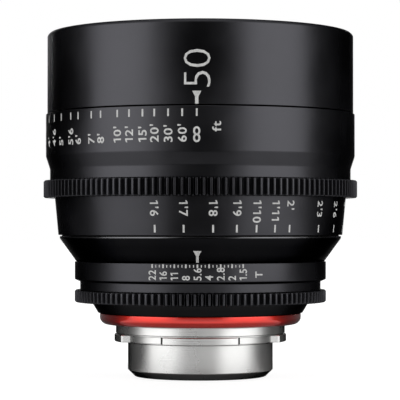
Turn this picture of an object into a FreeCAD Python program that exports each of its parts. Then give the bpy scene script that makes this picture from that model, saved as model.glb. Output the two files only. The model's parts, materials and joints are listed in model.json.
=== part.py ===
# Prime lens with a locking-collar mount: a cine lens that stands on its mount, front upwards.
# Millimetres. +Z is the optical axis towards the subject, the index lines face -Y, and the
# origin is the centre of the mount tube's rear end, on which the lens stands.
import FreeCAD, Part
import os
import Sketcher

# Driving sizes. Each cell of the sheet holds one of them.
SIZES = {
    # Mount: a tube that enters the camera, a winged flange that seats on it, and a neck.
    "tube_radius": 27.0,
    "tube_wall": 5.0,
    "tube_length": 13.1,
    "tube_chamfer_height": 2.5,
    "tube_chamfer_width": 2.6,
    "flange_width": 5.0,
    "flange_thickness": 2.65,
    "flange_gap_depth": 2.6,
    "flange_gap_half_angle": 24.0,
    "flange_gap_ramp": 8.0,
    "flange_wings": 4,
    "locating_notch_width": 3.0,
    "locating_notch_depth": 1.8,
    "neck_step": 0.5,
    "neck_height": 7.85,
    # Red ring round the neck.
    "red_ring_wall": 5.97,
    "red_ring_height": 4.7,
    "red_taper_height": 2.1,
    # Rear hub: a tapered cover, the seat of the iris ring, and a spigot in the main barrel.
    "hub_ledge": 3.5,
    "hub_wall": 10.0,
    "cover_top_step": 2.4,
    "cover_bottom_step": 0.1,
    "cover_height": 3.85,
    "spigot_length": 6.6,
    # Both toothed rings have the gear of follow-focus drives.
    "gear_module": 0.8,
    "tooth_height_per_module": 2.25,
    "tooth_land": 0.68,
    # Iris ring. Its wall is taken over the teeth, whose number follows from it.
    "iris_wall": 8.8,
    "iris_gear_width": 4.5,
    "iris_neck_step": 2.0,
    "iris_neck_height": 3.15,
    "iris_shoulder_height": 0.85,
    "iris_scale_height": 6.5,
    # Main barrel: a cone behind the focus ring and the tube that the focus ring turns on.
    "guide_tube_wall": 7.97,
    "cone_bottom_step": 0.5,
    "cone_top_step": 0.5,
    "cone_height": 8.45,
    "cone_lip_height": 0.8,
    # Focus ring, from its rear end to its scale. Its steps are taken from the front's radius.
    "focus_wall": 10.95,
    "focus_low_bottom_step": 4.1,
    "focus_low_top_step": 2.8,
    "focus_low_height": 13.75,
    "focus_gear_rise": 1.4,
    "focus_gear_width": 6.4,
    "focus_grip_step": 1.0,
    "focus_grip_height": 4.2,
    "focus_bevel_height": 4.65,
    "focus_band_rise": 0.52,
    "focus_scale_height": 15.7,
    # Front ring.
    "front_height": 29.7,
    "front_chamfer": 1.0,
    "filter_wall": 10.04,
    "filter_bore_depth": 5.7,
    # Lens barrel, which carries the glass and moves along the axis.
    "barrel_length": 52.0,
    "barrel_wall": 7.98,
    "web_thickness": 8.0,
    "tail_gap": 4.0,
    "tail_wall": 6.5,
    "tail_end_gap": 2.6,
    "focus_travel": 7.2,
    "barrel_rest_gap": 2.0,
    # Helicoid shoes: threaded blocks on the lens barrel that reach the focus ring's bore.
    "shoe_count": 3,
    "shoe_height": 12.0,
    "shoe_half_angle": 14.0,
    "shoe_start": 18.0,
    # Glass.
    "front_glass_thickness": 8.0,
    "front_glass_curve": 110.0,
    "front_glass_recess": 5.0,
    "front_retainer_width": 3.47,
    "front_retainer_height": 4.4,
    "middle_glass_thickness": 11.0,
    "middle_glass_gap": 6.0,
    "rear_glass_thickness": 6.0,
    "rear_glass_recess": 1.5,
    "rear_retainer_width": 1.97,
    "rear_retainer_height": 1.3,
    # Iris: blades that turn on the web, and the ring that drives them.
    "blade_count": 11,
    "blade_thickness": 0.1,
    "blade_pitch": 0.14,
    "blade_pivot_inset": 4.5,
    "blade_edge_inset": 1.5,
    "blade_width": 6.0,
    "blade_span": 110.0,
    "blade_ear": 1.5,
    "blade_half_turn": 18.84,
    "drive_arm": 4.5,
    "drive_arm_angle": 80.0,
    "pin_radius": 0.5,
    "pivot_hole_depth": 1.5,
    "iris_half_range": 20.0,
    "cam_ring_thickness": 1.2,
    "cam_ring_inset": 0.8,
    # Iris drive bar, from the iris ring up to the fork of the cam ring.
    "bar_offset": 0.5,
    "bar_thickness": 2.5,
    "bar_width": 3.0,
    "bar_arm_height": 3.0,
    "bar_arm_start": 8.1,
    "fork_prong": 2.0,
    # Clearances.
    "running_fit": 0.05,
    "thread_fit": 0.03,
    "axial_gap": 0.15,
    "seam_gap": 0.45,
    "end_gap": 0.3,
    "blade_gap": 0.1,
    "pin_play": 0.15,
    "angle_play": 0.4,
}

document = FreeCAD.newDocument("prime_lens")
sheet = document.addObject("Spreadsheet::Sheet", "dims")
for row, (alias, size) in enumerate(SIZES.items(), start=1):
    sheet.set(f"A{row}", alias)
    sheet.set(f"B{row}", str(size))
    sheet.setAlias(f"B{row}", alias)
document.recompute()

# Expressions that several pieces share. Heights are counted from the tube's rear end.
FLANGE_SEAT = "dims.tube_length"
NECK_START = f"({FLANGE_SEAT} + dims.flange_thickness)"
COVER_START = f"({NECK_START} + dims.neck_height)"
HUB_START = f"({COVER_START} + dims.cover_height)"
IRIS_START = f"({HUB_START} + dims.axial_gap)"
IRIS_GEAR_END = f"({IRIS_START} + dims.iris_gear_width)"
IRIS_NECK_END = f"({IRIS_GEAR_END} + dims.iris_neck_height)"
IRIS_SHOULDER_END = f"({IRIS_NECK_END} + dims.iris_shoulder_height)"
IRIS_END = f"({IRIS_SHOULDER_END} + dims.iris_scale_height)"
CONE_START = f"({IRIS_END} + dims.axial_gap)"
SPIGOT_END = f"({CONE_START} + dims.spigot_length)"
CONE_END = f"({CONE_START} + dims.cone_height)"
CONE_LIP_END = f"({CONE_END} + dims.cone_lip_height)"
FOCUS_START = f"({CONE_LIP_END} + dims.seam_gap)"
FOCUS_GEAR_START = f"({FOCUS_START} + dims.focus_low_height)"
FOCUS_GEAR_END = f"({FOCUS_GEAR_START} + dims.focus_gear_width)"
FOCUS_GRIP_END = f"({FOCUS_GEAR_END} + dims.focus_grip_height)"
FOCUS_BEVEL_END = f"({FOCUS_GRIP_END} + dims.focus_bevel_height)"
FOCUS_END = f"({FOCUS_BEVEL_END} + dims.focus_scale_height)"
FRONT_START = f"({FOCUS_END} + dims.seam_gap)"
FRONT_END = f"({FRONT_START} + dims.front_height)"
BARREL_START = f"({SPIGOT_END} + dims.barrel_rest_gap)"
WEB_END = f"({BARREL_START} + dims.web_thickness)"
BARREL_END = f"({BARREL_START} + dims.barrel_length)"
TAIL_START = f"({COVER_START} + dims.tail_end_gap)"
SHOE_START = f"({BARREL_START} + dims.shoe_start)"
SHOE_END = f"({SHOE_START} + dims.shoe_height)"
BLADES_START = f"({WEB_END} + dims.blade_gap)"
BLADES_HEIGHT = "dims.blade_count * dims.blade_pitch"
CAM_RING_START = f"({BLADES_START} + {BLADES_HEIGHT})"
CAM_RING_END = f"({CAM_RING_START} + dims.cam_ring_thickness)"
BAR_START = f"({IRIS_START} + dims.bar_arm_start)"
BAR_END = f"({CAM_RING_END} + dims.focus_travel + dims.end_gap)"


def tooth_count(radius):
    """The whole number of teeth that comes nearest to this outside radius."""
    return f"round(2 * {radius} / dims.gear_module - 2)"


# Radii, each from the wall or step that parts it from the one inside it.
TUBE_BORE = "(dims.tube_radius - dims.tube_wall)"
FLANGE_RADIUS = "(dims.tube_radius + dims.flange_width)"
NECK_RADIUS = f"({FLANGE_RADIUS} - dims.neck_step)"
RED_RING_BORE = f"({NECK_RADIUS} + dims.thread_fit)"
RED_RING_RADIUS = f"({RED_RING_BORE} + dims.red_ring_wall)"
HUB_BORE = f"({NECK_RADIUS} - dims.hub_ledge)"
HUB_RADIUS = f"({HUB_BORE} + dims.hub_wall)"
IRIS_BORE = f"({HUB_RADIUS} + dims.running_fit)"
IRIS_TEETH = tooth_count(f"({HUB_RADIUS} + dims.iris_wall)")
IRIS_GEAR_RADIUS = f"(dims.gear_module * ({IRIS_TEETH} + 2) / 2)"
IRIS_NECK_RADIUS = f"({IRIS_GEAR_RADIUS} - dims.iris_neck_step)"
GUIDE_BORE = f"({HUB_RADIUS} + dims.thread_fit)"
GUIDE_RADIUS = f"({GUIDE_BORE} + dims.guide_tube_wall)"
FOCUS_BORE = f"({GUIDE_RADIUS} + dims.running_fit)"
FRONT_RADIUS = f"({FOCUS_BORE} + dims.focus_wall)"
FOCUS_LOW_BOTTOM = f"({FRONT_RADIUS} - dims.focus_low_bottom_step)"
FOCUS_LOW_TOP = f"({FRONT_RADIUS} - dims.focus_low_top_step)"
FOCUS_TEETH = tooth_count(f"({FRONT_RADIUS} + dims.focus_gear_rise)")
FOCUS_GEAR_RADIUS = f"(dims.gear_module * ({FOCUS_TEETH} + 2) / 2)"
FOCUS_GRIP_RADIUS = f"({FRONT_RADIUS} - dims.focus_grip_step)"
FOCUS_BAND_RADIUS = f"({FRONT_RADIUS} + dims.focus_band_rise)"
CONE_BOTTOM_RADIUS = f"({IRIS_GEAR_RADIUS} - dims.cone_bottom_step)"
CONE_TOP_RADIUS = f"({FOCUS_LOW_BOTTOM} - dims.cone_top_step)"
FILTER_RADIUS = f"({FRONT_RADIUS} - dims.filter_wall)"
BARREL_RADIUS = f"({GUIDE_BORE} - dims.running_fit)"
FRONT_BORE = f"({BARREL_RADIUS} - dims.barrel_wall)"
TAIL_RADIUS = f"({HUB_BORE} - dims.tail_gap)"
TAIL_BORE = f"({TAIL_RADIUS} - dims.tail_wall)"
BLADE_PIVOT_RADIUS = f"({FRONT_BORE} - dims.blade_pivot_inset)"
BLADE_OUTER_RADIUS = f"({BLADE_PIVOT_RADIUS} - dims.blade_edge_inset)"
BLADE_INNER_RADIUS = f"({BLADE_OUTER_RADIUS} - dims.blade_width)"
CAM_RING_RADIUS = f"({FRONT_BORE} - dims.running_fit)"
CAM_RING_BORE = f"({TAIL_BORE} + dims.cam_ring_inset)"
TOOTH_HEIGHT = "(dims.tooth_height_per_module * dims.gear_module)"
BAR_INNER = f"({FRONT_BORE} + dims.bar_offset)"
BAR_OUTER = f"({BAR_INNER} + dims.bar_thickness)"
FORK_OUTER = f"({BAR_OUTER} + dims.end_gap)"
FORK_HALF_WIDTH = "(dims.bar_width / 2 + dims.running_fit + dims.fork_prong)"
WINDOW_OUTER = f"(sqrt({FORK_OUTER} ^ 2 + {FORK_HALF_WIDTH} ^ 2) + dims.end_gap)"
WINDOW_HALF_ANGLE = (
    f"(dims.iris_half_range + dims.angle_play"
    f" + asin({FORK_HALF_WIDTH} / {FRONT_BORE}) / 1 deg)"
)
NOTCH_HALF_ANGLE = (
    "(dims.iris_half_range + dims.angle_play"
    f" + asin(dims.bar_width / 2 / {HUB_BORE}) / 1 deg)"
)
FRONT_GLASS_EDGE = f"({BARREL_END} - dims.front_glass_recess)"
GLASS_SEAT_RADIUS = f"({FRONT_BORE} - dims.thread_fit)"
FRONT_RETAINER_BORE = f"({GLASS_SEAT_RADIUS} - dims.front_retainer_width)"
MIDDLE_GLASS_END = f"({FRONT_GLASS_EDGE} - dims.front_glass_thickness - dims.middle_glass_gap)"
REAR_SEAT_RADIUS = f"({TAIL_BORE} - dims.thread_fit)"
REAR_RETAINER_BORE = f"({REAR_SEAT_RADIUS} - dims.rear_retainer_width)"
REAR_GLASS_START = f"({TAIL_START} + dims.rear_glass_recess)"

# Curved slots and blades are chains of chords.
CURVE_STEPS = 5
LEAST_CUT = 0.001


def number(expression):
    """The value of an expression, as a float."""
    result = sheet.evalExpression(str(expression))
    return float(getattr(result, "Value", result))


def polar(radius, angle):
    """The expressions of a point at a radius and an angle in degrees."""
    return f"({radius}) * cos({angle})", f"({radius}) * sin({angle})"


def new_body(name):
    """An empty body whose label names its file."""
    body = document.addObject("PartDesign::Body", name)
    body.Label = name
    return body


def new_sketch(body, name, plane, height):
    """An empty sketch on a base plane of a body, at a height above it."""
    sketch = body.newObject("Sketcher::SketchObject", name)
    base = [item for item in body.Origin.OriginFeatures if item.Role == plane]
    sketch.AttachmentSupport = [(base[0], "")]
    sketch.MapMode = "FlatFace"
    sketch.setExpression("AttachmentOffset.Base.z", height)
    return sketch


def bind(sketch, constraint, expression):
    """Adds a constraint whose value follows an expression."""
    sketch.setExpression(f"Constraints[{sketch.addConstraint(constraint)}]", expression)


def outline(body, name, plane, points, height="0"):
    """A closed sketch of straight edges whose corners are bound to expressions."""
    sketch = new_sketch(body, name, plane, height)
    corners = [FreeCAD.Vector(number(x), number(y), 0) for x, y in points]
    for start, end in zip(corners, corners[1:] + corners[:1]):
        sketch.addGeometry(Part.LineSegment(start, end), False)
    for index in range(len(points)):
        follower = (index + 1) % len(points)
        sketch.addConstraint(Sketcher.Constraint("Coincident", index, 2, follower, 1))
    for index, (x, y) in enumerate(points):
        for kind, place in (("DistanceX", x), ("DistanceY", y)):
            bind(sketch, Sketcher.Constraint(kind, -1, 1, index, 1, number(place)), place)
    return sketch


def circle(body, name, centre, radius, height):
    """A sketch of one circle across Z whose centre and radius are bound to expressions."""
    sketch = new_sketch(body, name, "XY_Plane", height)
    middle = FreeCAD.Vector(number(centre[0]), number(centre[1]), 0)
    sketch.addGeometry(Part.Circle(middle, FreeCAD.Vector(0, 0, 1), number(radius)), False)
    for kind, place in (("DistanceX", centre[0]), ("DistanceY", centre[1])):
        bind(sketch, Sketcher.Constraint(kind, -1, 1, 0, 3, number(place)), place)
    bind(sketch, Sketcher.Constraint("Radius", 0, number(radius)), radius)
    return sketch


def turn(body, name, points, angle="360"):
    """A solid of revolution about Z, the profile's corners given as radius and height."""
    feature = body.newObject("PartDesign::Revolution", name)
    feature.Profile = outline(body, f"{name}_profile", "XZ_Plane", points)
    feature.ReferenceAxis = (feature.Profile[0], ["V_Axis"])
    feature.Midplane = angle != "360"
    feature.setExpression("Angle", angle)
    document.recompute()
    return feature


def cut(body, feature):
    """Recomputes a feature that takes material away, and makes sure that it did."""
    document.recompute()
    if feature.Shape.Volume > feature.BaseFeature.Shape.Volume - LEAST_CUT:
        raise RuntimeError(f"{feature.Label} takes nothing away")
    body.Tip = feature
    return feature


def turn_away(body, name, points, half_angle):
    """A cut of revolution about Z, centred on the +X side."""
    profile = outline(body, f"{name}_profile", "XZ_Plane", points)
    feature = body.newObject("PartDesign::Groove", name)
    feature.Profile = profile
    feature.ReferenceAxis = (profile, ["V_Axis"])
    feature.Midplane = True
    feature.setExpression("Angle", f"2 * {half_angle}")
    return cut(body, feature)


def extrude(body, name, profile, low, high):
    """A straight body along Z on a sketch that lies at its lower end."""
    feature = body.newObject("PartDesign::Pad", name)
    feature.Profile = profile
    feature.setExpression("Length", f"({high}) - ({low})")
    document.recompute()
    return feature


def pad(body, name, points, low, high):
    """A straight prism along Z between two heights."""
    profile = outline(body, f"{name}_outline", "XY_Plane", points, low)
    return extrude(body, name, profile, low, high)


def pin(body, name, centre, low, high):
    """A round pin along Z between two heights."""
    profile = circle(body, f"{name}_outline", centre, "dims.pin_radius", low)
    return extrude(body, name, profile, low, high)


def cut_up(body, name, profile, low, high):
    """A straight cut along Z, upwards from its sketch."""
    feature = body.newObject("PartDesign::Pocket", name)
    feature.Profile = profile
    feature.Reversed = True
    feature.setExpression("Length", f"({high}) - ({low})")
    return cut(body, feature)


def pocket(body, name, points, low, high):
    """A straight cut of a polygon along Z between two heights."""
    profile = outline(body, f"{name}_outline", "XY_Plane", points, low)
    return cut_up(body, name, profile, low, high)


def repeat_around(body, feature, count, axis="N_Axis"):
    """Copies of a feature spread round Z, which is the named axis of the feature's sketch."""
    pattern = body.newObject("PartDesign::PolarPattern", f"{feature.Name}_all")
    pattern.Originals = [feature]
    pattern.Axis = (feature.Profile[0], [axis])
    pattern.Angle = 360
    pattern.setExpression("Occurrences", count)
    body.Tip = pattern
    document.recompute()
    return pattern


def cut_teeth(body, radius, teeth, low, high):
    """Straight teeth with flat lands, left by one V-shaped gap that is repeated all round."""
    half_step = f"(180 / {teeth})"
    centre_x, centre_y = polar(f"sqrt({radius} ^ 2 - (dims.tooth_land / 2) ^ 2)", half_step)
    edge_x = f"({centre_x} + dims.tooth_land / 2 * sin({half_step}))"
    edge_y = f"({centre_y} - dims.tooth_land / 2 * cos({half_step}))"
    outer_x, outer_y = polar(f"({radius} + 2 * dims.end_gap)", half_step)
    gap = [
        (f"{radius} - {TOOTH_HEIGHT}", "0"),
        (edge_x, f"-{edge_y}"),
        (centre_x, f"-{centre_y}"),
        (outer_x, f"-{outer_y}"),
        (outer_x, outer_y),
        (centre_x, centre_y),
        (edge_x, edge_y),
    ]
    first = pocket(body, "tooth_gap", gap, f"{low} - dims.end_gap", f"{high} + dims.end_gap")
    repeat_around(body, first, teeth)


def lens_mount():
    body = new_body("lens_mount")
    turn(body, "turned", [
        (TUBE_BORE, "0"),
        ("dims.tube_radius - dims.tube_chamfer_width", "0"),
        ("dims.tube_radius", "dims.tube_chamfer_height"),
        ("dims.tube_radius", FLANGE_SEAT),
        (FLANGE_RADIUS, FLANGE_SEAT),
        (FLANGE_RADIUS, NECK_START),
        (NECK_RADIUS, NECK_START),
        (NECK_RADIUS, COVER_START),
        (TUBE_BORE, COVER_START),
    ])
    gap_radius = f"({FLANGE_RADIUS} - dims.flange_gap_depth)"
    past_edge = f"({FLANGE_RADIUS} + dims.end_gap)"
    gap_middle = "(180 / dims.flange_wings)"
    floor_half = "(dims.flange_gap_half_angle - dims.flange_gap_ramp)"
    corner = f"{past_edge} / cos(dims.flange_gap_half_angle)"
    floor = [
        polar(gap_radius, f"{gap_middle} + {floor_half} * {2 * step - CURVE_STEPS} / {CURVE_STEPS}")
        for step in range(CURVE_STEPS + 1)
    ]
    ends = [
        polar(corner, f"{gap_middle} + dims.flange_gap_half_angle"),
        polar(corner, f"{gap_middle} - dims.flange_gap_half_angle"),
    ]
    gap = pocket(body, "wing_gap", floor + ends, FLANGE_SEAT, NECK_START)
    repeat_around(body, gap, "dims.flange_wings")
    notch_floor = f"({FLANGE_RADIUS} - dims.locating_notch_depth)"
    pocket(body, "locating_notch", [
        ("-dims.locating_notch_width / 2", notch_floor),
        ("dims.locating_notch_width / 2", notch_floor),
        ("dims.locating_notch_width / 2", past_edge),
        ("-dims.locating_notch_width / 2", past_edge),
    ], FLANGE_SEAT, NECK_START)
    return body


def red_ring():
    body = new_body("red_ring")
    low = f"({COVER_START} - dims.red_ring_height)"
    turn(body, "turned", [
        (RED_RING_BORE, low),
        (RED_RING_RADIUS, f"{low} + dims.red_taper_height"),
        (RED_RING_RADIUS, COVER_START),
        (RED_RING_BORE, COVER_START),
    ])
    return body


def rear_hub():
    body = new_body("rear_hub")
    turn(body, "turned", [
        (HUB_BORE, COVER_START),
        (f"{HUB_RADIUS} + dims.cover_bottom_step", COVER_START),
        (f"{HUB_RADIUS} + dims.cover_top_step", HUB_START),
        (HUB_RADIUS, HUB_START),
        (HUB_RADIUS, SPIGOT_END),
        (HUB_BORE, SPIGOT_END),
    ])
    turn_away(body, "bar_notch", [
        (f"{HUB_BORE} - dims.end_gap", f"{BAR_START} - dims.end_gap"),
        (f"{HUB_RADIUS} + dims.end_gap", f"{BAR_START} - dims.end_gap"),
        (f"{HUB_RADIUS} + dims.end_gap", f"{SPIGOT_END} + dims.end_gap"),
        (f"{HUB_BORE} - dims.end_gap", f"{SPIGOT_END} + dims.end_gap"),
    ], NOTCH_HALF_ANGLE)
    return body


def main_barrel():
    body = new_body("main_barrel")
    turn(body, "turned", [
        (GUIDE_BORE, CONE_START),
        (CONE_BOTTOM_RADIUS, CONE_START),
        (CONE_TOP_RADIUS, CONE_END),
        (CONE_TOP_RADIUS, CONE_LIP_END),
        (GUIDE_RADIUS, CONE_LIP_END),
        (GUIDE_RADIUS, FRONT_START),
        (GUIDE_BORE, FRONT_START),
    ])
    half_angle = "(dims.shoe_half_angle + dims.angle_play)"
    middle = "(180 / dims.shoe_count)"
    inside = f"({GUIDE_BORE} - dims.running_fit)"
    outside = f"({GUIDE_RADIUS} + dims.end_gap) / cos({half_angle})"
    slot = pocket(body, "shoe_slot", [
        polar(inside, f"{middle} - {half_angle}"),
        polar(outside, f"{middle} - {half_angle}"),
        polar(outside, f"{middle} + {half_angle}"),
        polar(inside, f"{middle} + {half_angle}"),
    ], f"{SHOE_START} - dims.end_gap", f"{SHOE_END} + dims.focus_travel + dims.end_gap")
    repeat_around(body, slot, "dims.shoe_count")
    return body


def focus_ring():
    body = new_body("focus_ring")
    turn(body, "turned", [
        (FOCUS_BORE, FOCUS_START),
        (FOCUS_LOW_BOTTOM, FOCUS_START),
        (FOCUS_LOW_TOP, FOCUS_GEAR_START),
        (f"{FOCUS_GEAR_RADIUS} + dims.end_gap", FOCUS_GEAR_START),
        (f"{FOCUS_GEAR_RADIUS} + dims.end_gap", FOCUS_GEAR_END),
        (FOCUS_GRIP_RADIUS, FOCUS_GEAR_END),
        (FOCUS_GRIP_RADIUS, FOCUS_GRIP_END),
        (FOCUS_BAND_RADIUS, FOCUS_BEVEL_END),
        (FOCUS_BAND_RADIUS, FOCUS_END),
        (FOCUS_BORE, FOCUS_END),
    ])
    cut_teeth(body, FOCUS_GEAR_RADIUS, FOCUS_TEETH, FOCUS_GEAR_START, FOCUS_GEAR_END)
    return body


def iris_ring():
    body = new_body("iris_ring")
    turn(body, "turned", [
        (IRIS_BORE, IRIS_START),
        (f"{IRIS_GEAR_RADIUS} + dims.end_gap", IRIS_START),
        (f"{IRIS_GEAR_RADIUS} + dims.end_gap", IRIS_GEAR_END),
        (IRIS_NECK_RADIUS, IRIS_GEAR_END),
        (IRIS_NECK_RADIUS, IRIS_NECK_END),
        (IRIS_GEAR_RADIUS, IRIS_SHOULDER_END),
        (IRIS_GEAR_RADIUS, IRIS_END),
        (IRIS_BORE, IRIS_END),
    ])
    cut_teeth(body, IRIS_GEAR_RADIUS, IRIS_TEETH, IRIS_START, IRIS_GEAR_END)
    return body


def front_ring():
    body = new_body("front_ring")
    turn(body, "turned", [
        (f"{BARREL_RADIUS} + dims.end_gap", FRONT_START),
        (FRONT_RADIUS, FRONT_START),
        (FRONT_RADIUS, f"{FRONT_END} - dims.front_chamfer"),
        (f"{FRONT_RADIUS} - dims.front_chamfer", FRONT_END),
        (FILTER_RADIUS, FRONT_END),
        (FILTER_RADIUS, f"{FRONT_END} - dims.filter_bore_depth"),
    ])
    return body


def lens_barrel():
    body = new_body("lens_barrel")
    turn(body, "turned", [
        (TAIL_BORE, TAIL_START),
        (TAIL_RADIUS, TAIL_START),
        (TAIL_RADIUS, BARREL_START),
        (BARREL_RADIUS, BARREL_START),
        (BARREL_RADIUS, BARREL_END),
        (FRONT_BORE, BARREL_END),
        (FRONT_BORE, WEB_END),
        (TAIL_BORE, WEB_END),
    ])
    turn_away(body, "bar_window", [
        (f"{FRONT_BORE} - dims.end_gap", f"{BARREL_START} - dims.end_gap"),
        (WINDOW_OUTER, f"{BARREL_START} - dims.end_gap"),
        (WINDOW_OUTER, f"{BAR_END} + dims.end_gap"),
        (f"{FRONT_BORE} - dims.end_gap", f"{BAR_END} + dims.end_gap"),
    ], WINDOW_HALF_ANGLE)
    floor, mouth = f"{WEB_END} - dims.pivot_hole_depth", f"{WEB_END} + dims.end_gap"
    hole_outline = circle(body, "pivot_hole_outline", (BLADE_PIVOT_RADIUS, "0"),
                          "dims.pin_radius + dims.pin_play", floor)
    hole = cut_up(body, "pivot_hole", hole_outline, floor, mouth)
    repeat_around(body, hole, "dims.blade_count")
    return body


def helicoid_shoe(index):
    body = new_body(f"helicoid_shoe_{index + 1}")
    turn(body, "turned", [
        (BARREL_RADIUS, SHOE_START),
        (GUIDE_RADIUS, SHOE_START),
        (GUIDE_RADIUS, SHOE_END),
        (BARREL_RADIUS, SHOE_END),
    ], "2 * dims.shoe_half_angle")
    azimuth = 360 / number("dims.shoe_count") * (index + 0.5)
    body.Placement = FreeCAD.Placement(
        FreeCAD.Vector(), FreeCAD.Rotation(FreeCAD.Vector(0, 0, 1), azimuth))
    return body


def glass_disc(name, radius, low, high):
    """A plain disc for an element whose curved faces are never seen."""
    body = new_body(name)
    turn(body, "turned", [("0", low), (radius, low), (radius, high), ("0", high)])
    return body


def dome_height(radius):
    """The height of the front glass's sphere at a radius."""
    return (f"({FRONT_GLASS_EDGE} + sqrt(dims.front_glass_curve ^ 2 - {radius} ^ 2)"
            f" - sqrt(dims.front_glass_curve ^ 2 - {GLASS_SEAT_RADIUS} ^ 2))")


def front_retaining_ring():
    """A threaded ring whose underside follows the rim of the front element's dome."""
    body = new_body("front_retaining_ring")
    turn(body, "turned", [
        (FRONT_RETAINER_BORE, f"{dome_height(FRONT_RETAINER_BORE)} + dims.axial_gap"),
        (GLASS_SEAT_RADIUS, f"{FRONT_GLASS_EDGE} + dims.axial_gap"),
        (GLASS_SEAT_RADIUS, f"{FRONT_GLASS_EDGE} + dims.front_retainer_height"),
        (FRONT_RETAINER_BORE, f"{FRONT_GLASS_EDGE} + dims.front_retainer_height"),
    ])
    return body


def rear_retaining_ring():
    """A threaded ring against the rear element's edge."""
    body = new_body("rear_retaining_ring")
    low = f"{REAR_GLASS_START} - dims.axial_gap - dims.rear_retainer_height"
    turn(body, "turned", [
        (REAR_RETAINER_BORE, low),
        (REAR_SEAT_RADIUS, low),
        (REAR_SEAT_RADIUS, f"{REAR_GLASS_START} - dims.axial_gap"),
        (REAR_RETAINER_BORE, f"{REAR_GLASS_START} - dims.axial_gap"),
    ])
    return body


def front_element():
    """A disc whose front is a cap of a large sphere."""
    disc = document.addObject("Part::Cylinder", "front_disc")
    disc.setExpression("Radius", GLASS_SEAT_RADIUS)
    disc.setExpression(
        "Height", f"dims.front_glass_thickness + {dome_height('0')} - {FRONT_GLASS_EDGE}")
    disc.setExpression("Placement.Base.z", f"{FRONT_GLASS_EDGE} - dims.front_glass_thickness")
    sphere = document.addObject("Part::Sphere", "front_curve")
    sphere.setExpression("Radius", "dims.front_glass_curve")
    sphere.Placement = FreeCAD.Placement(
        FreeCAD.Vector(), FreeCAD.Rotation(FreeCAD.Vector(0, 1, 0), 90))
    sphere.setExpression("Placement.Base.z", f"{dome_height('0')} - dims.front_glass_curve")
    element = document.addObject("Part::Common", "front_element")
    element.Base = disc
    element.Tool = sphere
    element.Label = "front_element"
    return element


def drive_pin():
    """The drive pin's centre on a blade that lies fully open."""
    x, y = polar("dims.drive_arm", "dims.drive_arm_angle")
    return f"({BLADE_PIVOT_RADIUS} + {x})", f"({y})"


def blade_outline():
    """A crescent that lies fully open, with its pivot and drive pin on an ear at the +X side."""
    pivot = BLADE_PIVOT_RADIUS
    pin_x, pin_y = drive_pin()
    inner = [
        polar(BLADE_INNER_RADIUS, f"dims.blade_span * {step} / {CURVE_STEPS}")
        for step in range(CURVE_STEPS, -1, -1)
    ]
    ear = [
        (pivot, "-dims.blade_ear"),
        (f"{pivot} + dims.blade_ear", "0"),
        (f"{pin_x} + dims.blade_ear", pin_y),
        (f"{pin_x} + dims.blade_ear / 2", f"{pin_y} + dims.blade_ear"),
    ]
    outer = [
        polar(BLADE_OUTER_RADIUS, f"dims.blade_span * {step} / {CURVE_STEPS}")
        for step in range(1, CURVE_STEPS + 1)
    ]
    return inner + ear + outer


def iris_blade(index):
    """A blade in its own layer, turned from fully open to its place at rest."""
    body = new_body(f"iris_blade_{index + 1:02d}")
    low = f"({BLADES_START} + {index} * dims.blade_pitch)"
    high = f"({low} + dims.blade_thickness)"
    pad(body, "leaf", blade_outline(), low, high)
    pivot_end = f"({WEB_END} - dims.pivot_hole_depth + dims.end_gap)"
    pin(body, "pivot_pin", (BLADE_PIVOT_RADIUS, "0"), pivot_end, high)
    pin(body, "drive_pin", drive_pin(), low, CAM_RING_END)
    step = FreeCAD.Rotation(FreeCAD.Vector(0, 0, 1), 360 / number("dims.blade_count") * index)
    rest = FreeCAD.Rotation(FreeCAD.Vector(0, 0, 1), number("dims.blade_half_turn"))
    pivot = FreeCAD.Vector(number(BLADE_PIVOT_RADIUS), 0, 0)
    about_pivot = FreeCAD.Placement(FreeCAD.Vector(), rest, pivot)
    body.Placement = FreeCAD.Placement(FreeCAD.Vector(), step) * about_pivot
    return body


def cam_slot():
    """The drive pin's path as the cam ring sees it, widened by the pin and its play."""
    half_width = "(dims.pin_radius + dims.pin_play)"
    inner, outer = [], []
    for step in range(CURVE_STEPS + 1):
        travel = f"({step} / {CURVE_STEPS})"
        blade = f"(dims.drive_arm_angle + 2 * dims.blade_half_turn * {travel})"
        along = f"({BLADE_PIVOT_RADIUS} + dims.drive_arm * cos({blade}))"
        across = f"(dims.drive_arm * sin({blade}))"
        radius = f"sqrt({along} ^ 2 + {across} ^ 2)"
        overrun = f"{(step == 0) - (step == CURVE_STEPS)} * asin({half_width} / {radius}) / 1 deg"
        angle = (f"(atan({across} / {along}) / 1 deg"
                 f" + dims.iris_half_range * (1 - 2 * {travel}) + {overrun})")
        inner.append(polar(f"{radius} - {half_width}", angle))
        outer.append(polar(f"{radius} + {half_width}", angle))
    return inner + outer[::-1]


def iris_cam_ring():
    body = new_body("iris_cam_ring")
    turn(body, "turned", [
        (CAM_RING_BORE, CAM_RING_START),
        (CAM_RING_RADIUS, CAM_RING_START),
        (CAM_RING_RADIUS, CAM_RING_END),
        (CAM_RING_BORE, CAM_RING_END),
    ])
    slot_half = "(dims.bar_width / 2 + dims.running_fit)"
    slot_floor = f"({BAR_INNER} - dims.end_gap)"
    root = f"({BAR_INNER} - dims.fork_prong)"
    pad(body, "fork", [
        (root, f"-{FORK_HALF_WIDTH}"),
        (FORK_OUTER, f"-{FORK_HALF_WIDTH}"),
        (FORK_OUTER, f"-{slot_half}"),
        (slot_floor, f"-{slot_half}"),
        (slot_floor, slot_half),
        (FORK_OUTER, slot_half),
        (FORK_OUTER, FORK_HALF_WIDTH),
        (root, FORK_HALF_WIDTH),
    ], CAM_RING_START, CAM_RING_END)
    slot = pocket(body, "cam_slot", cam_slot(),
                  f"{CAM_RING_START} - dims.end_gap", f"{CAM_RING_END} + dims.end_gap")
    repeat_around(body, slot, "dims.blade_count")
    return body


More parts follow.
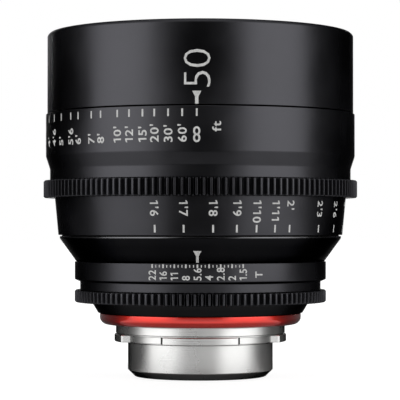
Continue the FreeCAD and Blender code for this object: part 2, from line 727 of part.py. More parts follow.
def iris_drive_bar():
    body = new_body("iris_drive_bar")
    arm_end = f"({HUB_RADIUS} - dims.axial_gap)"
    feature = body.newObject("PartDesign::Pad", "bar")
    feature.Profile = outline(body, "bar_outline", "XZ_Plane", [
        (BAR_INNER, BAR_START),
        (arm_end, BAR_START),
        (arm_end, f"{BAR_START} + dims.bar_arm_height"),
        (BAR_OUTER, f"{BAR_START} + dims.bar_arm_height"),
        (BAR_OUTER, BAR_END),
        (BAR_INNER, BAR_END),
    ])
    feature.Midplane = True
    feature.setExpression("Length", "dims.bar_width")
    document.recompute()
    return body


def build():
    """Every piece of the lens, from the mount to the last iris blade."""
    pieces = [lens_mount(), red_ring(), rear_hub(), main_barrel(), front_ring()]
    pieces += [focus_ring(), iris_ring(), iris_drive_bar(), lens_barrel()]
    pieces += [helicoid_shoe(index) for index in range(int(number("dims.shoe_count")))]
    pieces.append(front_element())
    pieces.append(front_retaining_ring())
    pieces.append(glass_disc(
        "middle_element", GLASS_SEAT_RADIUS,
        f"({MIDDLE_GLASS_END} - dims.middle_glass_thickness)", MIDDLE_GLASS_END))
    pieces.append(glass_disc(
        "rear_element", REAR_SEAT_RADIUS,
        REAR_GLASS_START, f"{REAR_GLASS_START} + dims.rear_glass_thickness"))
    pieces.append(rear_retaining_ring())
    pieces.append(iris_cam_ring())
    pieces += [iris_blade(index) for index in range(int(number("dims.blade_count")))]
    return pieces


pieces = build()
document.recompute()
for item in document.Objects:
    if "Invalid" in item.State or "Error" in item.State:
        raise RuntimeError(f"{item.Label} did not rebuild: {item.State}")
for piece in pieces:
    if piece.Shape.isNull() or not piece.Shape.isValid() or len(piece.Shape.Solids) != 1:
        raise RuntimeError(f"{piece.Label} is not one valid solid")
os.makedirs("parts", exist_ok=True)
for piece in pieces:
    piece.Shape.Solids[0].exportStep(f"parts/{piece.Label}.step")
    print(piece.Label, round(piece.Shape.Volume, 1), len(piece.Shape.Faces))
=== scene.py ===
import json
import math

import bpy
import bmesh
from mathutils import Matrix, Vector

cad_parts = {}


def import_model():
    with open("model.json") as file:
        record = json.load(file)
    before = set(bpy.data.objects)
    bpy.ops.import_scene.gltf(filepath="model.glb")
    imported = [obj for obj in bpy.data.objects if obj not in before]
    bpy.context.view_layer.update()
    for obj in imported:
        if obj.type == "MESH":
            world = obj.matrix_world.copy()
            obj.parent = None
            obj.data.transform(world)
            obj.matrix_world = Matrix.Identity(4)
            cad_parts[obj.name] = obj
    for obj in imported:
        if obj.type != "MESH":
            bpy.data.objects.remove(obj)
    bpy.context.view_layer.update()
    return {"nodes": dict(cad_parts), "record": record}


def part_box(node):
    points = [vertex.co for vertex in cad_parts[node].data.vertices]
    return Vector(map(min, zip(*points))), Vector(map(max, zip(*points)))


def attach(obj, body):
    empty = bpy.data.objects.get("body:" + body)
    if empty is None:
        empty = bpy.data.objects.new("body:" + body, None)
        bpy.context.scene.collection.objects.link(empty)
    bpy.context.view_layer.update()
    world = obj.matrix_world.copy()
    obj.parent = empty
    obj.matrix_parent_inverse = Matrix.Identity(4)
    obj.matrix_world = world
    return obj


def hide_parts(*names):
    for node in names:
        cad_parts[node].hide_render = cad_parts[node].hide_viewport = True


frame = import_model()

# The lens's sizes are in millimetres, and MM turns them into metres. Angles are in degrees.
MM = 0.001


def low(name):
    """The height of a node's lower end."""
    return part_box(name)[0].z / MM


def high(name):
    """The height of a node's upper end."""
    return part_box(name)[1].z / MM


def reach(name):
    """A node's largest distance from the axis, along X."""
    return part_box(name)[1].x / MM


# Radii and heights that the frame's boxes give.
FRONT_RADIUS = reach("front_ring")
FRONT_LOW, FRONT_HIGH = low("front_ring"), high("front_ring")
FOCUS_LOW, FOCUS_HIGH = low("focus_ring"), high("focus_ring")
IRIS_LOW, IRIS_HIGH = low("iris_ring"), high("iris_ring")
CONE_LOW = low("main_barrel")
HUB_LOW, HUB_HIGH = low("rear_hub"), high("rear_hub")
RED_LOW, RED_HIGH, RED_RADIUS = low("red_ring"), high("red_ring"), reach("red_ring")

# The front ring.
FILTER_RADIUS = 46.96
FILTER_DEPTH = 5.7
FRONT_OPENING = 38.28
FRONT_CHAMFER = 1.0
THREAD_TURNS = 5
THREAD_PITCH = 1.0
BAFFLE_RIDGES = 14
BAFFLE_DROP = 0.1

# The focus ring. GEAR values are the lower and upper end of the teeth.
FOCUS_TEETH = 144
FOCUS_GEAR = (66.2, 72.6)
FOCUS_GEAR_RADIUS = 58.4
FOCUS_BORE = 46.05
GRIP_TOP = 76.8
GRIP_RADIUS = 56.0
BEVEL_TOP = 81.45
BAND_RADIUS = 57.52
LOWER_TOP_RADIUS = 54.2
LOWER_BOTTOM_RADIUS = 52.9

# The main barrel's cone, and the felt seal above its lip.
CONE_HIGH = 51.2
CONE_TOP = 52.0
CONE_BOTTOM_RADIUS = 46.3
CONE_TOP_RADIUS = 52.4
SEAL_INNER, SEAL_OUTER = 47.0, 51.6
SEAL_GAP = 0.03

# The iris ring.
IRIS_TEETH = 115
IRIS_GEAR_TOP = 32.1
IRIS_GEAR_RADIUS = 46.8
IRIS_BORE = 38.05
IRIS_NECK_TOP = 35.25
IRIS_NECK_RADIUS = 44.8
IRIS_SHOULDER_TOP = 36.1

# The cover behind the iris ring, and the red ring.
HUB_BORE = 28.0
HUB_SEAT = 38.0
COVER_TOP = 27.45
COVER_BOTTOM_RADIUS = 38.1
COVER_TOP_RADIUS = 40.4
RED_BORE = 31.53

# The mount: tube, winged flange and neck.
TUBE_RADIUS = 27.0
TUBE_BORE = 22.0
CHAMFER_RADIUS = 24.25
CHAMFER_TOP = 2.65
FLANGE_SEAT = 13.1
FLANGE_RADIUS = 32.0
RELIEF_RADIUS = 26.6
RELIEF_DEPTH = 0.4
GAP_DEPTH = 2.6
GAP_HALF_ANGLE = 24
GAP_RAMP = 8
RAMP_OVERRUN = 0.5
NOTCH_WIDTH = 3.0
NOTCH_DEPTH = 1.2
NECK_START = 15.75
NECK_RADIUS = 31.5
GROOVE_RADIUS = 30.9
GROOVE_HEIGHT = 0.3

# Gear teeth: their height, and the flats at the tooth's land and between the teeth.
TOOTH_HEIGHT = 1.8
TOOTH_LAND = 0.68
ROOT_FLAT = 0.5
LAND_EDGE = 0.1
TOOTH_END_EDGE = 0.45

# Steps of the meshes.
TURNED_STEPS = 288
MOUNT_STEPS = 720
FILLET_STEPS = 3
LOOP_STEPS = 28
DEFAULT_FILLET = 0.12


# Meshes

def place(name, data):
    """Adds an object with its data to the scene."""
    holder = bpy.data.objects.new(name, data)
    bpy.context.scene.collection.objects.link(holder)
    return holder


def polar(angle, radius, z):
    """A point in millimetres from its angle in radians, its radius and its height."""
    return radius * math.cos(angle), radius * math.sin(angle), z


def closed_mesh(name, rings):
    """A ring-shaped solid: closed rings of points, the last of which joins the first."""
    count = len(rings[0])
    verts = [tuple(value * MM for value in point) for ring in rings for point in ring]
    faces = []
    for row in range(len(rings)):
        following = (row + 1) % len(rings)
        for step in range(count):
            beside = (step + 1) % count
            faces.append((row * count + step, row * count + beside,
                          following * count + beside, following * count + step))
    mesh = bpy.data.meshes.new(name)
    mesh.from_pydata(verts, [], faces)
    return mesh


def rounded(profile):
    """The points of a closed profile whose corners are (radius, height[, fillet])."""
    corners = [Vector((c[0], c[1])) for c in profile]
    fillets = [c[2] if len(c) > 2 else DEFAULT_FILLET for c in profile]
    area = sum(a.x * b.y - b.x * a.y for a, b in zip(corners, corners[1:] + corners[:1]))
    if area < 0:
        corners.reverse()
        fillets.reverse()
    points = []
    for index, corner in enumerate(corners):
        before, after = corners[index - 1], corners[(index + 1) % len(corners)]
        into, out = corner - before, after - corner
        back = min(fillets[index], 0.45 * into.length, 0.45 * out.length)
        start, end = corner - into.normalized() * back, corner + out.normalized() * back
        for step in range(FILLET_STEPS + 1):
            t = step / FILLET_STEPS
            points.append((1 - t) ** 2 * start + 2 * t * (1 - t) * corner + t ** 2 * end)
    return points


def lathe(name, profile):
    """A turned solid with rounded corners, shaded flat where it is flat."""
    mesh = closed_mesh(name, [[polar(math.tau * step / TURNED_STEPS, point.x, point.y)
                               for step in range(TURNED_STEPS)] for point in rounded(profile)])
    mesh.shade_smooth()
    piece = place(name, mesh)
    piece.modifiers.new("shading", "WEIGHTED_NORMAL")
    return piece


def gear_band(name, teeth, outer, inner, bottom, top):
    """A toothed ring: flanks that bulge a little, and corners broken at the lands and the ends."""
    pitch = math.tau / teeth
    root = outer - TOOTH_HEIGHT
    root_half = pitch / 2 - ROOT_FLAT / 2 / root
    land_half = TOOTH_LAND / 2 / outer
    middle_half = 0.56 * land_half + 0.44 * root_half
    half = [(root_half, root), (middle_half, root + 0.55 * TOOTH_HEIGHT),
            (land_half + 0.4 * LAND_EDGE / outer, outer - LAND_EDGE),
            (land_half - LAND_EDGE / outer, outer)]
    tooth = [(-angle, radius) for angle, radius in half]
    tooth += [(angle, radius) for angle, radius in reversed(half)]
    outline = [((index + 0.5) * pitch + angle, radius)
               for index in range(teeth) for angle, radius in tooth]
    rows = [(bottom, TOOTH_END_EDGE), (bottom + TOOTH_END_EDGE, 0),
            (top - TOOTH_END_EDGE, 0), (top, TOOTH_END_EDGE)]
    rings = [[polar(angle, max(root, radius - drop), z) for angle, radius in outline]
             for z, drop in rows]
    rings += [[polar(angle, inner, z) for angle, _ in outline] for z in (top, bottom)]
    return place(name, closed_mesh(name, rings))


def join(name, *pieces):
    """One object from several, which keeps the first one's place."""
    bpy.ops.object.select_all(action="DESELECT")
    for piece in pieces:
        piece.select_set(True)
    bpy.context.view_layer.objects.active = pieces[0]
    bpy.ops.object.join()
    pieces[0].name = name
    return pieces[0]


# Materials. Noise scales are per metre, and the bumps' height is in metres.

TOOL_MARK_SCALE = 2600
GRAIN_SCALE = 2400
PATCH_SCALE = 45
PATCH_RANGE = (0.35, 0.65)
SHEEN_SPREAD = 0.04
BUMP_HEIGHT = 0.00003
EDGE_TINT = (0.25, 0.25, 0.25)


def material_nodes(name):
    """A new material, its node tree and its shader."""
    material = bpy.data.materials.new(name)
    material.use_nodes = True
    tree = material.node_tree
    return material, tree, tree.nodes["Principled BSDF"]


def node(tree, kind, inputs=None, **settings):
    """Adds a node. Inputs are numbers, or sockets to link from."""
    made = tree.nodes.new(kind)
    for key, value in settings.items():
        setattr(made, key, value)
    for key, value in (inputs or {}).items():
        if isinstance(value, bpy.types.NodeSocket):
            tree.links.new(value, made.inputs[key])
        else:
            made.inputs[key].default_value = value
    return made


def maths(tree, operation, first, second):
    return node(tree, "ShaderNodeMath", {0: first, 1: second}, operation=operation).outputs[0]


def mix_colour(tree, factor, first, second):
    """Mixes two colours, each of them three numbers or a socket."""
    inputs = {key: colour if isinstance(colour, bpy.types.NodeSocket) else (*colour, 1)
              for key, colour in ((6, first), (7, second))}
    return node(tree, "ShaderNodeMix", {0: factor, **inputs}, data_type="RGBA").outputs[2]


def spread(tree, value, first, second, start=0.0, end=1.0):
    """Maps a range of a value to another."""
    made = node(tree, "ShaderNodeMapRange", {"Value": value, "From Min": start, "From Max": end,
                                             "To Min": first, "To Max": second})
    return made.outputs[0]


def spot(tree):
    """The place on the object."""
    return node(tree, "ShaderNodeTexCoord").outputs["Object"]


def noise(tree, place_socket, scale, detail):
    made = node(tree, "ShaderNodeTexNoise", {"Vector": place_socket, "Scale": scale,
                                             "Detail": detail})
    return made.outputs[0]


def tool_marks(tree, place_socket):
    """Fine concentric marks of the lathe tool: noise that varies only with radius and height."""
    parts = node(tree, "ShaderNodeSeparateXYZ", {0: place_socket})
    flat = node(tree, "ShaderNodeCombineXYZ", {0: parts.outputs[0], 1: parts.outputs[1]})
    radius = node(tree, "ShaderNodeVectorMath", {0: flat.outputs[0]}, operation="LENGTH")
    total = maths(tree, "ADD", radius.outputs["Value"], parts.outputs[2])
    marks = node(tree, "ShaderNodeTexNoise", {"W": total, "Scale": TOOL_MARK_SCALE, "Detail": 3.0},
                 noise_dimensions="1D")
    return marks.outputs[0]


def metal(name, dark, light, roughness, grain, lines, tint=(0.0, 0.0, 0.0)):
    """Turned metal: grain, tool marks, and patches of slightly different tone and sheen."""
    material, tree, shader = material_nodes(name)
    place_socket = spot(tree)
    fine = noise(tree, place_socket, GRAIN_SCALE, 2.0)
    patches = noise(tree, place_socket, PATCH_SCALE, 4.0)
    tone = mix_colour(tree, spread(tree, patches, 0, 1, *PATCH_RANGE), dark, light)
    sheen = spread(tree, patches, roughness - SHEEN_SPREAD, roughness + SHEEN_SPREAD, *PATCH_RANGE)
    grained = node(tree, "ShaderNodeBump", {"Height": fine, "Strength": grain,
                                            "Distance": BUMP_HEIGHT})
    lined = node(tree, "ShaderNodeBump", {"Height": tool_marks(tree, place_socket),
                                          "Strength": lines, "Distance": BUMP_HEIGHT,
                                          "Normal": grained.outputs[0]})
    tree.links.new(tone, shader.inputs["Base Color"])
    tree.links.new(sheen, shader.inputs["Roughness"])
    tree.links.new(lined.outputs[0], shader.inputs["Normal"])
    shader.inputs["Metallic"].default_value = 1.0
    shader.inputs["Specular Tint"].default_value = (*tint, 1)
    return material


def recolour_by_height(material, colour, below, above, start, end):
    """Lays a colour over a material, by a share that goes from below to above between heights."""
    tree = material.node_tree
    base = tree.nodes["Principled BSDF"].inputs["Base Color"]
    parts = node(tree, "ShaderNodeSeparateXYZ", {0: spot(tree)})
    share = spread(tree, parts.outputs[2], below, above, start * MM, end * MM)
    tree.links.new(mix_colour(tree, share, base.links[0].from_socket, colour), base)


def steel():
    """Fine-turned stainless steel, with a painted dark reflection on the tube's rear end."""
    material = metal("stainless_steel", dark=(0.50, 0.50, 0.495), light=(0.59, 0.59, 0.58),
                     roughness=0.28, grain=0.05, lines=0.35)
    # Painted reflection: below 2.3 to 2.6 mm, on the rear chamfer, the steel's colour goes dark to
    # stand in for the dark it mirrors there.
    recolour_by_height(material, (0.09, 0.09, 0.09), 1, 0, 2.3, 2.6)
    return material


def barrel_black():
    """Smooth black, with a painted highlight on the lip: a much lighter colour from 51.4 mm up."""
    material = metal("black_smooth", dark=(0.0050, 0.0050, 0.0056), light=(0.0068, 0.0068, 0.0075),
                     roughness=0.25, grain=0.05, lines=0.05, tint=(0.3, 0.3, 0.3))
    # Painted highlight: above 51.40 to 51.45 mm the lip gets a lighter colour that stands in for
    # the light its edge catches.
    recolour_by_height(material, (0.075, 0.075, 0.078), 0, 1, 51.40, 51.45)
    return material


def felt_black():
    material = metal("black_felt", dark=(0.004, 0.004, 0.004), light=(0.007, 0.007, 0.007),
                     roughness=0.85, grain=0.6, lines=0.0)
    material.node_tree.nodes["Principled BSDF"].inputs["Metallic"].default_value = 0.0
    return material


def anodised_red():
    """Red anodising: a clear coat over dyed metal."""
    material = metal("red_anodised", dark=(0.52, 0.016, 0.009), light=(0.62, 0.023, 0.013),
                     roughness=0.30, grain=0.1, lines=0.15, tint=(0.25, 0.0, 0.0))
    shader = material.node_tree.nodes["Principled BSDF"]
    shader.inputs["Coat Weight"].default_value = 1.0
    shader.inputs["Coat Tint"].default_value = (1.0, 0.9, 0.75, 1)
    shader.inputs["Coat Roughness"].default_value = 0.12
    return material


def paint(name, colour):
    """Filling paint of the engraved marks, a little uneven."""
    material, tree, shader = material_nodes(name)
    uneven = noise(tree, spot(tree), 900, 3.0)
    worn = tuple(0.82 * channel for channel in colour)
    tree.links.new(mix_colour(tree, spread(tree, uneven, 0, 1, 0.4, 0.6), worn, colour),
                   shader.inputs["Base Color"])
    tree.links.new(spread(tree, uneven, 0.5, 0.65), shader.inputs["Roughness"])
    return material


def glass():
    """Optical glass with a coating that tints its reflections."""
    material, tree, shader = material_nodes("coated_glass")
    smear = noise(tree, spot(tree), 60, 2.0)
    tree.links.new(spread(tree, smear, 0.0, 0.006, 0.3, 0.9), shader.inputs["Roughness"])
    shader.inputs["Base Color"].default_value = (0.96, 0.98, 0.97, 1)
    shader.inputs["IOR"].default_value = 1.5
    shader.inputs["Transmission Weight"].default_value = 1.0
    shader.inputs["Specular Tint"].default_value = (0.45, 0.75, 0.6, 1)
    shader.inputs["Thin Film Thickness"].default_value = 320.0
    shader.inputs["Thin Film IOR"].default_value = 1.38
    return material


def assign(piece, material):
    piece.data.materials.clear()
    piece.data.materials.append(material)


# Marks on the turned surfaces. Azimuth 0 is the index side, and it grows to the right.

MARK_LIFT = 0.03
MARK_DEPTH = 0.12
CHORD = 0.8
MERGE = 0.0005

# In the font, at size 1: a digit's height, the step from one to the next, and a stroke's width.
FONT_DIGIT = 0.70
FONT_ADVANCE = 0.56
FONT_STROKE = 0.085
# The digit 1 has a flag, whose lower left corner is given, and no foot.
ONE_WIDTH = 0.3
ONE_SPACE = 0.06
FLAG_LEFT, FLAG_LOW = 0.02, 0.50
GLYPHS = {}

INDEX_AZIMUTH = -1.25
FAR_AZIMUTH = 180 + INDEX_AZIMUTH
FEET_AZIMUTH = 5.55

# Ticks are (width, lower end, upper end), and lettering (digit height, character length, start).
UPPER_TICK, UPPER_TEXT = (0.62, 93.5, 96.1), (3.0, 2.75, 84.6)
LOWER_TICK, LOWER_TEXT = (0.66, 53.45, 56.1), (3.0, 2.55, 64.7)
FEET_TEXT = (3.0, 2.9, 88.2)
STOP_TICK, STOP_TEXT = (0.55, 41.0, 42.3), (2.7, 1.95, 36.7)
THIRD_TICK, SCALE_TEXT = (0.34, 41.2, 42.1), (2.8, 2.1, 37.5)
FOCAL_TEXT = (9.7, 8.5, 103.6)

# The infinity sign's length, width and line, and its middle's height on each scale.
INFINITY = (5.5, 2.5, 0.68)
UPPER_INFINITY, LOWER_INFINITY = 87.2, 61.8

# Distance marks: feet and inches, and how far the focus ring has turned from infinity.
DISTANCES = (
    ("60'", 5.0), ("30'", 9.9), ("20'", 14.8), ("15'", 19.1), ("12'", 24.2), ("10'", 28.9),
    ("8'", 36.1), ("7'", 40.5), ("6'", 47.5), ("5'6", 52.0), ("5'", 58.9), ("4'6", 65.5),
    ("4'", 72.5), ("3'6", 84.5), ("3'", 98.5), ("2'6", 113.6), ("2'3", 126.4), ("2'", 142.7),
    ("1'11", 149.4), ("1'10", 157.2), ("1'9", 165.0), ("1'8", 174.0), ("1'7", 185.0),
    ("1'6", 196.1),
)
STOPS = ("1.5", "2", "2.8", "4", "5.6", "8", "11", "16", "22")
STOP_STEP = 4.98
REST_STOP = 4
SCALE_LETTER_TURN = 27.3


def wrapped(name, outlines, surface):
    """Thin filled shapes laid on a turned surface. An outline's points are (arc, height)."""
    bm = bmesh.new()
    for azimuth, faces in outlines:
        for corners in faces:
            bm.faces.new([bm.verts.new((math.radians(azimuth) * surface(z) + arc, z, 0))
                          for arc, z in corners])
    columns = sorted({round(v.co.x / CHORD) for v in bm.verts})
    for column in range(columns[0], columns[-1] + 1):
        geometry = bm.verts[:] + bm.edges[:] + bm.faces[:]
        bmesh.ops.bisect_plane(bm, geom=geometry, plane_co=(column * CHORD, 0, 0),
                               plane_no=(1, 0, 0))
    bmesh.ops.remove_doubles(bm, verts=bm.verts, dist=MERGE)
    for vert in bm.verts:
        radius = surface(vert.co.y)
        angle = vert.co.x / radius
        out = (radius + MARK_LIFT) * MM
        vert.co = Vector((out * math.sin(angle), -out * math.cos(angle), vert.co.y * MM))
    mesh = bpy.data.meshes.new(name)
    bm.to_mesh(mesh)
    bm.free()
    piece = place(name, mesh)
    solid = piece.modifiers.new("depth", "SOLIDIFY")
    solid.thickness = MARK_DEPTH * MM
    solid.offset = -1
    return piece


def flagged_one(weight):
    """The digit 1 of engraved scales: a stem with a flag."""
    stroke = FONT_STROKE + 2 * weight
    stem = ONE_WIDTH - stroke
    return [[(stem, 0), (ONE_WIDTH, 0), (ONE_WIDTH, FONT_DIGIT), (stem, FONT_DIGIT)],
            [(FLAG_LEFT, FLAG_LOW), (stem, FONT_DIGIT - 1.3 * stroke), (stem, FONT_DIGIT),
             (FLAG_LEFT, FLAG_LOW + stroke)]], ONE_WIDTH + ONE_SPACE


def font_glyph(letter, weight):
    """A character of the font, from its left edge."""
    curve = bpy.data.curves.new("words", "FONT")
    curve.body = letter
    curve.size = 1.0
    curve.offset = weight
    curve.resolution_u = 3
    holder = place("words", curve)
    bpy.context.view_layer.update()
    mesh = bpy.data.meshes.new_from_object(holder.evaluated_get(
        bpy.context.evaluated_depsgraph_get()))
    bpy.data.objects.remove(holder)
    left = min(v.co.x for v in mesh.vertices)
    width = max(v.co.x for v in mesh.vertices) - left
    return [[(mesh.vertices[i].co.x - left, mesh.vertices[i].co.y) for i in polygon.vertices]
            for polygon in mesh.polygons], width


def glyph(letter, weight):
    """The filled faces of a character at size 1 from its left edge, and its width."""
    if (letter, weight) not in GLYPHS:
        GLYPHS[letter, weight] = (flagged_one(weight) if letter == "1"
                                  else font_glyph(letter, weight))
    return GLYPHS[letter, weight]


def text_faces(words, digit, length, start, way=1, weight=0.016, gap=0.1):
    """The filled faces of a line of text that runs along the axis from its start.

    Digits are as tall as digit across the axis, and length is that of one character along it.
    """
    faces = []
    cursor = 0.0
    for letter in words:
        shapes, width = glyph(letter, weight)
        for shape in shapes:
            corners = []
            for u, v in shape:
                across = (v - FONT_DIGIT / 2) * digit / FONT_DIGIT
                along = (cursor + u) * length / FONT_ADVANCE
                corners.append((-across * way, start + along * way))
            faces.append(corners)
        cursor += width + gap
    return faces


def bar(width, bottom, top):
    """A short line along the axis."""
    return [(-width / 2, bottom), (width / 2, bottom), (width / 2, top), (-width / 2, top)]


def index_mark(width, stem, bottom, top):
    """A triangle that points down, on a stem that reaches the ring's edge."""
    shoulder = top - 0.65 * width
    return [[(-width / 2, top), (-stem / 2, shoulder), (stem / 2, shoulder), (width / 2, top)],
            bar(stem, bottom, shoulder)]


def infinity_faces(height):
    """Two round loops that touch, one above the other along the axis."""
    length, width, line = INFINITY
    along, across = (length - line) / 4, (width - line) / 2
    faces = []
    for side in (-1, 1):
        middle = height + side * along
        for step in range(LOOP_STEPS):
            a, b = math.tau * step / LOOP_STEPS, math.tau * (step + 1) / LOOP_STEPS
            corners = ((a, -line / 2), (b, -line / 2), (b, line / 2), (a, line / 2))
            faces.append([((across + w) * math.cos(t), middle + (along + w) * math.sin(t))
                          for t, w in corners])
    return faces


def between(start, end, first, second):
    """A surface whose radius goes evenly from first to second between two heights."""
    return lambda height: first + (height - start) / (end - start) * (second - first)


front_surface = between(FRONT_LOW, FRONT_HIGH, FRONT_RADIUS, FRONT_RADIUS)
upper_surface = between(BEVEL_TOP, FOCUS_HIGH, BAND_RADIUS, BAND_RADIUS)
lower_surface = between(FOCUS_LOW, FOCUS_GEAR[0], LOWER_BOTTOM_RADIUS, LOWER_TOP_RADIUS)
cone_surface = between(CONE_LOW, CONE_HIGH, CONE_BOTTOM_RADIUS, CONE_TOP_RADIUS)
iris_surface = between(IRIS_SHOULDER_TOP, IRIS_HIGH, IRIS_GEAR_RADIUS, IRIS_GEAR_RADIUS)


def focus_marks():
    """The two distance scales, each read at its own side of the lens."""
    tick, low_tick = [bar(*UPPER_TICK)], [bar(*LOWER_TICK)]
    upper = [(INDEX_AZIMUTH, tick), (INDEX_AZIMUTH, infinity_faces(UPPER_INFINITY)),
             (FEET_AZIMUTH, text_faces("ft", *FEET_TEXT, gap=0.0))]
    lower = []
    for words, turned in DISTANCES:
        upper.append((INDEX_AZIMUTH - turned, tick))
        upper.append((INDEX_AZIMUTH - turned, text_faces(words, *UPPER_TEXT)))
        lower.append((FAR_AZIMUTH - turned, low_tick))
        lower.append((FAR_AZIMUTH - turned, text_faces(words, *LOWER_TEXT, -1, gap=0.14)))
    lower.append((FAR_AZIMUTH, low_tick))
    lower.append((FAR_AZIMUTH, infinity_faces(LOWER_INFINITY)))
    return upper, lower


def iris_marks(facing):
    """The iris scale, centred on the stop at which the ring rests."""
    faces = []
    for index, words in enumerate(STOPS):
        azimuth = facing + (REST_STOP - index) * STOP_STEP
        faces.append((azimuth, [bar(*STOP_TICK)]))
        faces.append((azimuth, text_faces(words, *STOP_TEXT)))
        if index:
            for part in (1, 2):
                faces.append((azimuth + part * STOP_STEP / 3, [bar(*THIRD_TICK)]))
    faces.append((facing + SCALE_LETTER_TURN, text_faces("T", *SCALE_TEXT)))
    return faces


# Pieces. A third number at a profile's corner is its fillet.

def turned_node(name, cad_node, body, profile, material, *extra):
    piece = lathe(name, profile)
    if extra:
        piece = join(name, piece, *extra)
    assign(piece, material)
    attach(piece, body)
    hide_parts(cad_node)
    return piece


def front_piece(material):
    """The front ring: filter thread, and baffle ridges down to the opening."""
    half_pitch = THREAD_PITCH / 2
    thread_low = FRONT_HIGH - FILTER_DEPTH
    inside = []
    for turn in range(THREAD_TURNS):
        crest = FRONT_HIGH - half_pitch - turn * THREAD_PITCH
        inside += [(FILTER_RADIUS, crest, 0.03),
                   (FILTER_RADIUS + half_pitch, crest - half_pitch, 0.03)]
    inside.append((FILTER_RADIUS, thread_low, 0.05))
    narrowing = (FRONT_OPENING - FILTER_RADIUS) / BAFFLE_RIDGES
    descent = (FRONT_LOW - thread_low) / BAFFLE_RIDGES
    for ridge in range(BAFFLE_RIDGES):
        edge = thread_low + (ridge + 0.25) * descent
        inside += [(FILTER_RADIUS + ridge * narrowing, edge, 0.05),
                   (FILTER_RADIUS + (ridge + 1) * narrowing, edge - BAFFLE_DROP, 0.05)]
    profile = [
        (FRONT_RADIUS, FRONT_LOW, 0.15),
        (FRONT_RADIUS, FRONT_HIGH - FRONT_CHAMFER, 0.5),
        (FRONT_RADIUS - FRONT_CHAMFER, FRONT_HIGH, 0.5),
        (FILTER_RADIUS + 0.4, FRONT_HIGH, 0.2),
        *inside,
        (FRONT_OPENING, FRONT_LOW, 0.1),
    ]
    return turned_node("front_ring_shell", "front_ring", "housing", profile, material)


def focus_piece(material):
    """The focus ring: lower scale, gear, grip, bevel and upper scale."""
    profile = [
        (FOCUS_BORE, FOCUS_LOW),
        (LOWER_BOTTOM_RADIUS, FOCUS_LOW, 0.15),
        (LOWER_TOP_RADIUS, FOCUS_GEAR[0], 0.1),
        (LOWER_TOP_RADIUS, FOCUS_GEAR[1], 0.1),
        (GRIP_RADIUS, FOCUS_GEAR[1], 0.15),
        (GRIP_RADIUS, GRIP_TOP, 0.4),
        (BAND_RADIUS, BEVEL_TOP, 0.4),
        (BAND_RADIUS, FOCUS_HIGH, 0.2),
        (FOCUS_BORE, FOCUS_HIGH),
    ]
    teeth = gear_band("focus_teeth", FOCUS_TEETH, FOCUS_GEAR_RADIUS, LOWER_TOP_RADIUS - 1.0,
                      *FOCUS_GEAR)
    return turned_node("focus_ring_shell", "focus_ring", "focus_ring", profile, material, teeth)


def iris_piece(material):
    """The iris ring: gear, neck, shoulder and scale."""
    profile = [
        (IRIS_BORE, IRIS_LOW),
        (IRIS_NECK_RADIUS - 0.5, IRIS_LOW),
        (IRIS_NECK_RADIUS - 0.5, IRIS_GEAR_TOP),
        (IRIS_NECK_RADIUS, IRIS_GEAR_TOP + 0.1, 0.1),
        (IRIS_NECK_RADIUS, IRIS_NECK_TOP, 0.15),
        (IRIS_GEAR_RADIUS, IRIS_SHOULDER_TOP, 0.3),
        (IRIS_GEAR_RADIUS, IRIS_HIGH, 0.25),
        (IRIS_BORE, IRIS_HIGH),
    ]
    teeth = gear_band("iris_teeth", IRIS_TEETH, IRIS_GEAR_RADIUS, IRIS_NECK_RADIUS - 1.5,
                      IRIS_LOW, IRIS_GEAR_TOP)
    return turned_node("iris_ring_shell", "iris_ring", "iris_ring", profile, material, teeth)


def hub_piece(material):
    """The tapered cover behind the iris ring, with the ring's seat."""
    profile = [
        (HUB_BORE, HUB_LOW),
        (COVER_BOTTOM_RADIUS, HUB_LOW, 0.2),
        (COVER_TOP_RADIUS, COVER_TOP, 0.3),
        (HUB_SEAT, COVER_TOP),
        (HUB_SEAT, HUB_HIGH),
        (HUB_BORE, HUB_HIGH),
    ]
    return turned_node("rear_hub_shell", "rear_hub", "housing", profile, material)


def red_piece(material):
    """The red ring, rounded towards the mount."""
    profile = [
        (RED_BORE, RED_LOW, 0.1),
        (RED_RADIUS - 1.4, RED_LOW + 0.6, 0.9),
        (RED_RADIUS, RED_LOW + 2.2, 0.9),
        (RED_RADIUS, RED_HIGH - 0.2, 0.25),
        (RED_RADIUS - 0.3, RED_HIGH, 0.1),
        (RED_BORE, RED_HIGH, 0.1),
    ]
    return turned_node("red_ring_shell", "red_ring", "housing", profile, material)


def seal_piece(material):
    """The felt ring that keeps dust out between the main barrel's lip and the focus ring."""
    bottom, top = CONE_TOP + SEAL_GAP, FOCUS_LOW - SEAL_GAP
    piece = lathe("focus_seal", [(SEAL_INNER, bottom, 0.02), (SEAL_OUTER, bottom, 0.02),
                                 (SEAL_OUTER, top, 0.02), (SEAL_INNER, top, 0.02)])
    assign(piece, material)
    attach(piece, "housing")


def flange_edge(azimuth):
    """The mount flange's radius at an azimuth from +X: wings, ramped gaps, and a notch at +Y."""
    across = FLANGE_RADIUS * math.cos(math.radians(azimuth))
    if azimuth < 180 and abs(across) < NOTCH_WIDTH / 2:
        return FLANGE_RADIUS - NOTCH_DEPTH
    turned = abs((azimuth - 45) % 90)
    turned = min(turned, 90 - turned)
    ramp_start = GAP_HALF_ANGLE - GAP_RAMP
    if turned <= ramp_start:
        return FLANGE_RADIUS - GAP_DEPTH
    if turned >= GAP_HALF_ANGLE:
        return FLANGE_RADIUS
    inner = FLANGE_RADIUS - GAP_DEPTH
    outer = (FLANGE_RADIUS + RAMP_OVERRUN) / math.cos(math.radians(GAP_HALF_ANGLE))
    a, b = math.radians(ramp_start), math.radians(GAP_HALF_ANGLE)
    start = Vector((inner * math.cos(a), inner * math.sin(a)))
    end = Vector((outer * math.cos(b), outer * math.sin(b)))
    way = Vector((math.cos(math.radians(turned)), math.sin(math.radians(turned))))
    along = end - start
    radius = (start.x * along.y - start.y * along.x) / (way.x * along.y - way.y * along.x)
    return min(radius, FLANGE_RADIUS)


